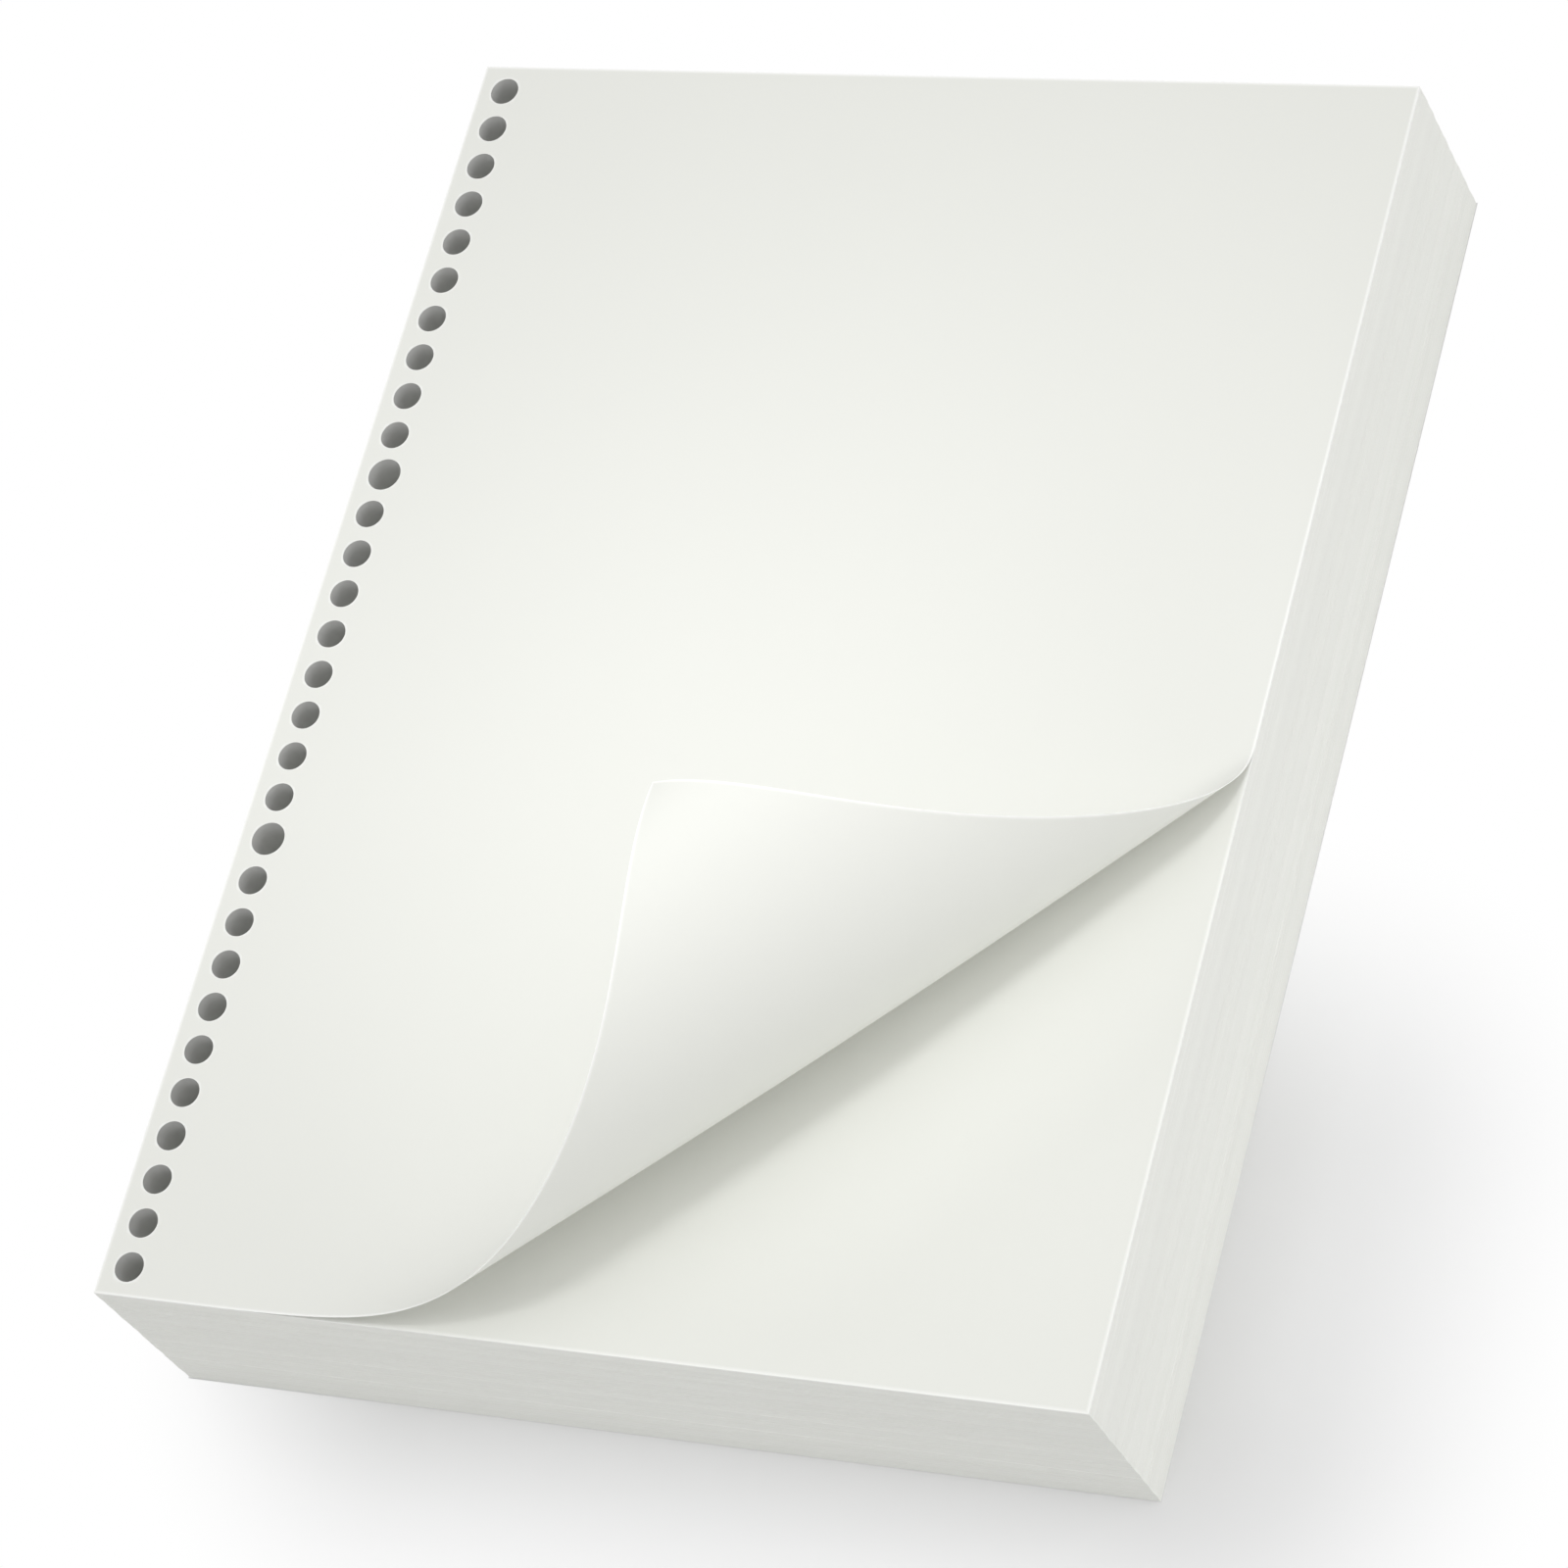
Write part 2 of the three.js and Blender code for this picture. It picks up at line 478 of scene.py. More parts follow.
def rulings(sheet, curl, distance):
    """Ends of the curl's rulings on the flat page, on the side edge and on the foot.

    The first ruling joins the two points where the sheet leaves the stack. The
    others cross the line that stands square on its middle, at each distance, and
    are turned by fan times the distance less fan back times its square.
    """
    half = np.array((sheet.width / 2, sheet.length / 2))
    edge = np.array((half[0], -half[1] + curl.up_edge))
    foot = np.array((half[0] - curl.along_foot, -half[1]))
    along = (foot - edge) / np.linalg.norm(foot - edge)
    across = np.array((-along[1], along[0]))
    turn = curl.fan * distance - curl.fan_back * distance**2
    start = (edge + foot) / 2 + across * distance[:, None]
    way = np.stack(
        (
            along[0] * np.cos(turn) - along[1] * np.sin(turn),
            along[0] * np.sin(turn) + along[1] * np.cos(turn),
        ),
        axis=-1,
    )
    to_edge = (half[0] - start[:, 0]) / way[:, 0]
    to_foot = (-half[1] - start[:, 1]) / way[:, 1]
    edges = start + way * to_edge[:, None]
    feet = start + way * to_foot[:, None]
    return edges, feet, turn


def curl_reach(sheet, curl):
    """Distance from the first ruling to the one that passes through the corner."""
    tries = np.linspace(0, 1.5 * curl.up_edge, CURL_TRIES)
    edges, _, _ = rulings(sheet, curl, tries)
    return float(np.interp(sheet.length / 2, -edges[:, 1], tries))


def bend_at(curl, distance, reach):
    """How sharply the sheet bends, as one over the radius.

    It is one over the slack radius, plus a share that grows with the square of
    the distance from the slackest ruling up to one over the tip radius, and it
    sets in over the lift-off by the smooth step 3 t squared less 2 t cubed.
    """
    slack = 1 / curl.slack_radius
    tightening = (1 / curl.tip_radius - slack) / (reach - curl.slack_at) ** 2
    t = np.clip(distance / curl.lift_off, 0, 1)
    bend = slack + tightening * (distance - curl.slack_at) ** 2
    return bend * t * t * (3 - 2 * t)


def curl_grid(sheet, curl, share):
    """The curled corner as a grid, one row a ruling and one column a share of it.

    The page is folded a little about each ruling in turn, and each fold carries
    all of the page beyond it, which bends it without stretching. Then every point
    moves out along the paper's back by belly times the sine of its share of half
    a turn along the ruling times the squared sine of its share of half a turn
    round the roll. Returns the flat places, the places in space, and the way the
    page's face points there.
    """
    reach = curl_reach(sheet, curl)
    distance = np.linspace(0, reach, CURL_FOLDS + 1)
    edges, feet, turn = rulings(sheet, curl, distance)
    angle = bend_at(curl, distance, reach) * (reach / CURL_FOLDS) / np.cos(turn)
    flat = edges[:, None] + (feet - edges)[:, None] * share[None, :, None]
    place = Matrix.Identity(4)
    matrices = [np.array(place)]
    for edge, foot, fold in zip(edges[:-1], feet[:-1], angle[:-1]):
        axis = (*(edge - foot), 0.0)
        hinge = Matrix.Translation((*foot, 0.0))
        turned = hinge @ Matrix.Rotation(-fold, 4, axis) @ hinge.inverted()
        place = place @ turned
        matrices.append(np.array(place))
    before = np.array(matrices[:-1] + [matrices[-1]])
    after = np.array(matrices[1:] + [matrices[-1]])
    facing = before[:, :3, 2] + after[:, :3, 2]
    facing /= np.linalg.norm(facing, axis=1)[:, None]
    solid = np.concatenate((flat, np.zeros(flat.shape[:2] + (1,))), axis=-1)
    places = np.einsum("rij,rcj->rci", before[:, :3, :3], solid)
    places += before[:, None, :3, 3]
    round_way = np.sin(np.pi * np.clip(distance / reach, 0, 1)) ** 2
    swell = curl.belly * round_way[:, None] * np.sin(np.pi * share)[None, :]
    facings = np.broadcast_to(facing[:, None], places.shape)
    return flat, places - facings * swell[..., None], facings


def flat_part(sheet, curl, seam):
    """The part of the page between the strip and the curl, as a grid on the page.

    Its columns run from the first ruling up to the head, from the seam evenly to
    the side edge, and its rows are in step with the strip's. Returns the points,
    the triangles, and where the columns meet the first ruling, as shares of it.
    """
    half_w, half_l = sheet.width / 2, sheet.length / 2
    levels, _ = strip_levels(sheet, -half_l, half_l)
    part = (levels + half_l) / (2 * half_l)
    foot_x = half_w - curl.along_foot
    columns = np.concatenate(([seam], np.linspace(foot_x, half_w, FLAT_STEPS + 1)))
    share = (half_w - columns[1:]) / (half_w - foot_x)
    lowest = np.full(len(columns), -half_l)
    lowest[1:] += (1 - share) * curl.up_edge
    x = np.broadcast_to(columns, (len(part), len(columns)))
    y = lowest + (half_l - lowest) * part[:, None]
    flat = np.stack((x, y), axis=-1).reshape(-1, 2)
    return flat, grid_triangles(len(part), len(columns)), share


def page(sheet, curl):
    """The whole top sheet as one face: the punched strip, the flat part and the curl.

    All three are laid out flat, where points that meet become one, and each point
    carries its place in space with it. Returns the flat points, the triangles, the
    places in space, the way the face points there, and which points are on a
    hole's rim.
    """
    half_w, half_l = sheet.width / 2, sheet.length / 2
    seam = -half_w + curl_seam(sheet, curl)
    strip, strip_faces, strip_rim, _ = punched_strip(sheet, -half_w, seam, -half_l, half_l)
    flat, flat_faces, share = flat_part(sheet, curl, seam)
    curl_flat, curl_places, curl_facing = curl_grid(sheet, curl, share)
    rows, steps, _ = curl_flat.shape
    # rulings step towards the foot, so the turn is reversed to face up
    curl_faces = grid_triangles(rows, steps)[:, ::-1]
    outline, faces = joined(
        (strip, strip_faces), (flat, flat_faces), (curl_flat.reshape(-1, 2), curl_faces)
    )

    level = len(strip) + len(flat)
    places = np.concatenate((at_height(outline[:level], 0.0), curl_places.reshape(-1, 3)))
    up = np.broadcast_to((0.0, 0.0, 1.0), (level, 3))
    facing = np.concatenate((up, curl_facing.reshape(-1, 3)))
    rim = np.zeros(len(outline))
    rim[: len(strip)] = strip_rim
    outline, faces, whole, places, facing, rim = weld(outline, faces, places, facing, rim)
    return outline, faces[whole], places, facing, rim


def curl_seam(sheet, curl):
    """How far in from the punched edge the strip of holes ends.

    That is a little short of the point where the first ruling meets the foot, so
    that the strip lies flat all the way down.
    """
    return sheet.width - curl.along_foot - SEAM_INSET


def thick_sheet(outline, faces, places, facing, rim, caliper):
    """A face thickened to a closed sheet.

    The front is the back moved out by one caliper along the way it faces, and a
    wall closes every edge that only one triangle has. Returns the points, the
    triangles, which of them are walls, the points on the flat page, and which of
    them are on a hole's rim.
    """
    count = len(places)
    front = places + facing * caliper
    edge = np.concatenate((faces[:, (0, 1)], faces[:, (1, 2)], faces[:, (2, 0)]))
    key = edge[:, 0] * count + edge[:, 1]
    back_key = edge[:, 1] * count + edge[:, 0]
    a, b = edge[~np.isin(key, back_key)].T
    walls = np.concatenate(
        (
            np.column_stack((a, b, b + count)),
            np.column_stack((a, b + count, a + count)),
        )
    )
    triangles = np.concatenate((faces[:, ::-1], faces + count, walls))
    is_wall = np.zeros(len(triangles))
    is_wall[2 * len(faces) :] = 1.0
    flat_place = at_height(np.concatenate((outline, outline)), 0.0)
    return (
        np.concatenate((places, front)),
        triangles,
        is_wall,
        flat_place,
        np.concatenate((rim, rim)),
    )


def stack_offsets(stack, count):
    """How far each sheet of the stack is jogged out of line, from the bottom up.

    Groups wander by the jog times a sum of three sines of the sheet's number. Each
    sheet strays from its group by a seeded normal share, and one in sixteen by
    three times as much. Over the top thirty sheets the groups' part fades out, and
    the stray falls to about a third. Returns the groups' part and the stray.
    """
    draw = np.random.default_rng(STRAY_SEED)
    number = np.arange(count)
    turns = np.array(WANDER_TURNS)[:, None] * number
    starts = np.array((WANDER_STARTS_X, WANDER_STARTS_Y))[..., None]
    group = stack.jog * np.sum(np.sin(turns + starts), axis=1).T
    stray = stack.stray * draw.normal(size=(count, 2))
    stray *= np.where(draw.random(count) < FAR_STRAY_SHARE, FAR_STRAY, 1.0)[:, None]
    loose = np.clip((count - number) / SETTLED_SHEETS, 0, 1)[:, None]
    return group * loose, stray * (SETTLED_STRAY + (1 - SETTLED_STRAY) * loose)


def sheet_corners(sheet):
    """The corners of a sheet, from the foot of the punched edge along the foot."""
    x, y = sheet.width / 2, sheet.length / 2
    return np.array(((-x, -y), (x, -y), (x, y), (-x, y)))


def stack_side(sheet, offset):
    """The four sides of the stack: a stair with two rectangles for each sheet.

    They lie at the bottom and the top of the sheet, at the sheet's own jog.
    """
    stair = sheet_corners(sheet) + np.repeat(offset[:, None, None], 2, axis=1)
    height = (np.arange(len(offset))[:, None] + np.array((0, 1))) * sheet.caliper
    height = np.broadcast_to(height[..., None, None], stair.shape[:3] + (1,))
    stair = np.concatenate((stair, height), axis=-1).reshape(-1, 4, 3)
    closed = np.concatenate((stair, stair[:, :1]), axis=1)
    return closed.reshape(-1, 3), grid_triangles(len(closed), 5)


def strip_outline(sheet, left, right, low, high):
    """The outline of the punched strip, as its foot, inner, head and outer side."""
    levels, _ = strip_levels(sheet, low, high)
    steps = left + (right - left) * np.arange(CELL_STEPS + 1) / CELL_STEPS
    return (
        np.column_stack((steps, np.full(len(steps), low))),
        np.column_stack((np.full(len(levels), right), levels)),
        np.column_stack((steps[::-1], np.full(len(steps), high))),
        np.column_stack((np.full(len(levels), left), levels[::-1])),
    )


def stack_end(strip, strip_faces, sides, corners, z):
    """The top of the stack, or its bottom seen from within: the punched strip, framed.

    Each side of the strip's outline has a fan to the first of the two corners
    beyond it, and one triangle more to the second.
    """
    surfaces = [(at_height(strip, z), strip_faces)]
    for i, side in enumerate(sides):
        first = len(side)
        fan = np.concatenate((side, [corners[i], corners[(i + 1) % 4]]))
        k = np.arange(first - 1)
        triangles = np.column_stack((np.full(first - 1, first), k + 1, k))
        triangles = np.concatenate((triangles, [(first, first + 1, first - 1)]))
        surfaces.append((at_height(fan, z), triangles))
    return joined(*surfaces)


def hole_tubes(rim, group):
    """The punched walls: a tube of rings for each hole.

    The rings are in line at both ends, and follow the groups' jog in between.
    """
    level = np.linspace(0, 1, TUBE_STEPS + 1)
    sheet_of = np.clip((level * len(group)).astype(int), 0, len(group) - 1)
    drift = group[sheet_of] * np.where((level == 0) | (level == 1), 0, 1)[:, None]
    ring = np.concatenate((rim, rim[:, :1]), axis=1)
    tube = ring[:, None] + drift[None, :, None]
    z = np.broadcast_to((level * STACK_TOP)[None, :, None, None], tube.shape[:3] + (1,))
    tube = np.concatenate((tube, z), axis=-1)
    holes, rings, around, _ = tube.shape
    # the rings step upwards, so each cell's turn is reversed to face the hole
    one = grid_triangles(rings, around)[:, ::-1]
    first = np.arange(holes)[:, None, None] * rings * around
    return tube.reshape(-1, 3), (one[None] + first).reshape(-1, 3)


def stack_solid(sheet, stack):
    """The stack below the top sheet as one closed solid.

    It has stepped sides, a top and a bottom with the punched strip in them, and a
    tube down each hole. Returns the points, the triangles, and which of them are in
    a hole.
    """
    group, stray = stack_offsets(stack, int(round(STACK_TOP / sheet.caliper)))
    offset = group + stray
    left = -sheet.width / 2 + STRIP_INSET
    right = -sheet.width / 2 + sheet.hole_to_edge + sheet.wide_hole_diameter + STRIP_MARGIN
    low, high = -sheet.length / 2 + STRIP_INSET, sheet.length / 2 - STRIP_INSET
    strip, strip_faces, _, rim = punched_strip(sheet, left, right, low, high)
    sides = strip_outline(sheet, left, right, low, high)

    corners = sheet_corners(sheet)
    top = stack_end(strip, strip_faces, sides, corners + offset[-1], STACK_TOP)
    under, under_faces = stack_end(strip, strip_faces, sides, corners + offset[0], 0.0)
    tubes = hole_tubes(rim, group)
    side = stack_side(sheet, offset)
    points, faces = joined(side, top, (under, under_faces[:, ::-1]), tubes)
    in_hole = np.zeros(len(faces))
    in_hole[-len(tubes[1]) :] = 1.0
    points, faces, whole = weld(points, faces)
    return points, faces[whole], in_hole[whole]


def new_mesh(name, points, triangles, corner_values, point_values=None):
    """A mesh from whole arrays, smooth but for its sharp edges.

    corner_values holds one number a triangle for each name, and point_values one
    number or vector a point. They become attributes that the materials read.
    """
    mesh = bpy.data.meshes.new(name)
    mesh.vertices.add(len(points))
    mesh.vertices.foreach_set("co", points.astype(np.float32).ravel())
    mesh.loops.add(3 * len(triangles))
    mesh.loops.foreach_set("vertex_index", triangles.astype(np.int32).ravel())
    mesh.polygons.add(len(triangles))
    starts = np.arange(0, 3 * len(triangles), 3, dtype=np.int32)
    mesh.polygons.foreach_set("loop_start", starts)
    mesh.update(calc_edges=True)
    for key, values in corner_values.items():
        attribute = mesh.attributes.new(key, "FLOAT", "CORNER")
        attribute.data.foreach_set("value", np.repeat(values, 3).astype(np.float32))
    for key, values in (point_values or {}).items():
        if values.ndim == 1:
            attribute = mesh.attributes.new(key, "FLOAT", "POINT")
            attribute.data.foreach_set("value", values.astype(np.float32))
        else:
            attribute = mesh.attributes.new(key, "FLOAT_VECTOR", "POINT")
            attribute.data.foreach_set("vector", values.astype(np.float32).ravel())
    mesh.shade_smooth()
    mesh.set_sharp_from_angle(angle=SHARP_ANGLE)
    return mesh


def new_piece(name, mesh, material, node):
    """Puts a mesh in the scene in place of a CAD node, riding with the one body."""
    piece = bpy.data.objects.new(name, mesh)
    bpy.context.scene.collection.objects.link(piece)
    mesh.materials.append(material)
    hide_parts(node)
    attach(piece, "root")


# Materials


def add_node(tree, kind, inputs=None, **settings):
    """A node with its settings, and its inputs linked where the value is a socket."""
    node = tree.nodes.new(kind)
    for key, value in settings.items():
        setattr(node, key, value)
    for key, value in (inputs or {}).items():
        if isinstance(value, bpy.types.NodeSocket):
            tree.links.new(value, node.inputs[key])
        else:
            node.inputs[key].default_value = value
    return node


def math_node(tree, operation, *values, clamp=False):
    """A Math node's result."""
    inputs = dict(enumerate(values))
    node = add_node(tree, "ShaderNodeMath", inputs, operation=operation, use_clamp=clamp)
    return node.outputs[0]


def noise_at(tree, place, scale, detail, roughness=0.55):
    """A noise texture's value, from -0.5 to 0.5, with the place scaled per axis."""
    moved = add_node(tree, "ShaderNodeMapping", {"Vector": place, "Scale": scale})
    noise = add_node(
        tree,
        "ShaderNodeTexNoise",
        {"Vector": moved.outputs[0], "Scale": 1.0, "Detail": detail, "Roughness": roughness},
    )
    return math_node(tree, "SUBTRACT", noise.outputs["Fac"], 0.5)


def group_tree(name, inputs, outputs):
    """An empty node group with named sockets, and its input and output nodes."""
    tree = bpy.data.node_groups.new(name, "ShaderNodeTree")
    for label, kind, default in inputs:
        socket = tree.interface.new_socket(label, in_out="INPUT", socket_type=kind)
        if default is not None:
            socket.default_value = default
    for label, kind in outputs:
        tree.interface.new_socket(label, in_out="OUTPUT", socket_type=kind)
    return tree, tree.nodes.new("NodeGroupInput"), tree.nodes.new("NodeGroupOutput")


def fibre_group():
    """Uncoated paper: cloudy formation, fine fibres and a tooth for the bump."""
    tree, given, result = group_tree(
        "Paper fibre",
        (
            ("Place", "NodeSocketVector", None),
            ("Cloud", "NodeSocketFloat", 0.012),
            ("Grain", "NodeSocketFloat", 0.010),
        ),
        (("Tone", "NodeSocketFloat"), ("Height", "NodeSocketFloat")),
    )
    place = given.outputs["Place"]
    cloud = noise_at(tree, place, (26, 18, 22), detail=2.0)
    cloud = math_node(tree, "MULTIPLY", cloud, given.outputs["Cloud"])
    grain = noise_at(tree, place, (1900, 1200, 1500), detail=2.0)
    tone = math_node(tree, "MULTIPLY_ADD", grain, given.outputs["Grain"], cloud)
    tone = math_node(tree, "ADD", tone, 1.0)
    tree.links.new(tone, result.inputs["Tone"])
    fibres = noise_at(tree, place, (2600, 900, 2000), detail=4.0, roughness=0.65)
    height = math_node(tree, "MULTIPLY_ADD", cloud, 4.0, fibres)
    tree.links.new(height, result.inputs["Height"])
    return tree


def rim_highlight_group():
    """A mask for the painted highlight: 1 along the outline of a page, falling off inwards."""
    tree, given, result = group_tree(
        "Page rim",
        (
            ("Place", "NodeSocketVector", None),
            ("Half width", "NodeSocketFloat", 0.106),
            ("Half length", "NodeSocketFloat", 0.144),
            ("Rim", "NodeSocketFloat", 0.0005),
        ),
        (("Mask", "NodeSocketFloat"),),
    )
    parts = add_node(tree, "ShaderNodeSeparateXYZ", {0: given.outputs["Place"]})
    gaps = []
    for axis, half in (("X", "Half width"), ("Y", "Half length")):
        reach = math_node(tree, "ABSOLUTE", parts.outputs[axis])
        gaps.append(math_node(tree, "SUBTRACT", given.outputs[half], reach))
    gap = math_node(tree, "MINIMUM", *gaps)
    share = math_node(tree, "DIVIDE", gap, given.outputs["Rim"])
    mask = math_node(tree, "SUBTRACT", 1.0, share, clamp=True)
    tree.links.new(mask, result.inputs["Mask"])
    return tree


def placed_group(tree, group, inputs):
    """A node that holds a group, with its inputs set or linked."""
    return add_node(tree, "ShaderNodeGroup", inputs, node_tree=group)


def edge_highlight(tree, rim, place, sheet, width):
    """The painted highlight's mask along a sheet's outline, for the sheet's size and the
    highlight's width.
    """
    inputs = {
        "Place": place,
        "Half width": sheet.width / 2,
        "Half length": sheet.length / 2,
        "Rim": width,
    }
    return placed_group(tree, rim, inputs).outputs["Mask"]


def mix_colour(tree, share, a, b, blend="MIX"):
    """A Mix node's colour; a and b are sockets or colours.

    The sockets are numbered, because those for numbers, vectors and colours share
    their names: 0 is the share, 6 and 7 the colours, and 2 the colour put out.
    """
    inputs = {0: share, 6: a, 7: b}
    node = add_node(tree, "ShaderNodeMix", inputs, data_type="RGBA", blend_type=blend)
    return node.outputs[2]


def grey(tree, value):
    """A colour whose three parts are one number."""
    parts = dict.fromkeys(("Red", "Green", "Blue"), value)
    return add_node(tree, "ShaderNodeCombineColor", parts).outputs[0]


def mesh_value(tree, name, output="Fac"):
    """What a mesh attribute of this name says, as a number or as a vector."""
    node = add_node(tree, "ShaderNodeAttribute", attribute_name=name)
    return node.outputs[output]


def empty_material(name):
    """A material with an output node only, its node tree, and the socket to fill."""
    material = bpy.data.materials.new(name)
    material.use_nodes = True
    tree = material.node_tree
    tree.nodes.clear()
    output = tree.nodes.new("ShaderNodeOutputMaterial")
    return material, tree, output.inputs["Surface"]


def paper_material(name):
    """A material with a Principled shader as dull as uncoated paper."""
    material, tree, surface = empty_material(name)
    dull = {"Roughness": 0.82, "Specular IOR Level": 0.22}
    shader = add_node(tree, "ShaderNodeBsdfPrincipled", dull)
    tree.links.new(shader.outputs[0], surface)
    return material, tree, shader


def paper_stock(tree, fibre, place):
    """The paper fibre group, as strong as on this paper."""
    return placed_group(tree, fibre, {"Place": place, "Cloud": FORMATION, "Grain": GRAIN})


def finish_paper(tree, shader, colour, tone, height):
    """Links the colour, times the paper's tone, and the height as a fine bump."""
    colour = mix_colour(tree, 1.0, colour, grey(tree, tone), "MULTIPLY")
    tree.links.new(colour, shader.inputs["Base Color"])
    tooth = {"Height": height, "Strength": BUMP_STRENGTH, "Distance": BUMP_DISTANCE}
    bump = add_node(tree, "ShaderNodeBump", tooth)
    tree.links.new(bump.outputs[0], shader.inputs["Normal"])


def paper_sheet_material(settings, fibre, rim):
    """The top sheet: off-white paper whose pattern follows the page round its curl, with a painted
    highlight on its edges.
    """
    colours, sheet = settings.colours, settings.sheet
    material, tree, shader = paper_material("Paper sheet")
    place = mesh_value(tree, "page_place", "Vector")
    stock = paper_stock(tree, fibre, place)
    # painted highlight: the page's outline, its cut walls and its holes' rims take the rim colour
    edge = edge_highlight(tree, rim, place, sheet, SHEET_HIGHLIGHT_WIDTH)
    hole_rim = math_node(tree, "MULTIPLY", mesh_value(tree, "hole_rim"), HOLE_RIM_HIGHLIGHT)
    painted_light = math_node(tree, "MAXIMUM", edge, mesh_value(tree, "cut_wall"))
    painted_light = math_node(tree, "MAXIMUM", painted_light, hole_rim)
    colour = mix_colour(tree, painted_light, (*colours.face, 1.0), (*colours.rim, 1.0))
    finish_paper(tree, shader, colour, stock.outputs["Tone"], stock.outputs["Height"])
    return material


def paper_stack_material(settings, fibre, rim):
    """The stack: paper on top, streaked cut sides, holes greyed partly by painted shade, painted
    highlights at the top.
    """
    colours, sheet = settings.colours, settings.sheet
    material, tree, shader = paper_material("Paper stack")
    place = add_node(tree, "ShaderNodeTexCoord").outputs["Object"]
    normal = add_node(tree, "ShaderNodeNewGeometry").outputs["Normal"]
    upright = add_node(tree, "ShaderNodeSeparateXYZ", {0: normal}).outputs["Z"]
    upright = math_node(tree, "ABSOLUTE", upright)
    side = math_node(tree, "SUBTRACT", 1.0, upright, clamp=True)
    level = add_node(tree, "ShaderNodeSeparateXYZ", {0: place}).outputs["Z"]
    depth = math_node(tree, "SUBTRACT", STACK_TOP, level)

    stock = paper_stock(tree, fibre, place)
    # painted highlight round the outline of the top
    edge = edge_highlight(tree, rim, place, sheet, STACK_HIGHLIGHT_WIDTH)
    edge = math_node(tree, "MULTIPLY", edge, STACK_HIGHLIGHT_STRENGTH)
    face = mix_colour(tree, edge, (*colours.face, 1.0), (*colours.rim, 1.0))

    # cut edges: streaks along the sheets, broad bands, thin light lines where their
    # noise is over an eighth, and a painted highlight along the top
    streak = noise_at(tree, place, (0.5, 0.5, 1500), detail=2.0, roughness=0.6)
    band = noise_at(tree, place, (0.3, 0.3, 230), detail=2.0)
    line = noise_at(tree, place, (0.3, 0.3, 640), detail=1.0)
    line = math_node(tree, "MULTIPLY_ADD", line, 8.0, -1.0, clamp=True)
    tone = math_node(tree, "MULTIPLY_ADD", streak, 0.045, 1.0)
    tone = math_node(tree, "MULTIPLY_ADD", band, 0.07, tone)
    tone = math_node(tree, "MULTIPLY_ADD", line, 0.06, tone)
    cut = mix_colour(tree, 1.0, (*colours.cut, 1.0), grey(tree, tone), "MULTIPLY")
    top_highlight = math_node(tree, "DIVIDE", depth, SIDE_HIGHLIGHT_DEPTH)
    top_highlight = math_node(tree, "SUBTRACT", 1.0, top_highlight, clamp=True)
    top_highlight = math_node(tree, "MULTIPLY", top_highlight, STACK_HIGHLIGHT_STRENGTH)
    cut = mix_colour(tree, top_highlight, cut, (*colours.rim, 1.0))

    # punched walls: a grey that is partly the fibre's darker tone and partly painted shade,
    # at the top, halved with each fade's depth, until the walls are as pale as the cut edges
    down = math_node(tree, "DIVIDE", depth, HOLE_SHADE_FADE)
    down = math_node(tree, "POWER", 2.0, math_node(tree, "MULTIPLY", down, -1.0))
    wall = mix_colour(tree, down, (*colours.cut, 1.0), (*colours.hole, 1.0))
    wall = mix_colour(tree, 1.0, wall, grey(tree, tone), "MULTIPLY")

    colour = mix_colour(tree, side, face, cut)
    colour = mix_colour(tree, mesh_value(tree, "in_hole"), colour, wall)
    # the streaks show in the sides' bump too
    rough = math_node(tree, "MULTIPLY", streak, side)
    height = math_node(tree, "MULTIPLY_ADD", rough, 3.0, stock.outputs["Height"])
    finish_paper(tree, shader, colour, stock.outputs["Tone"], height)
    return material


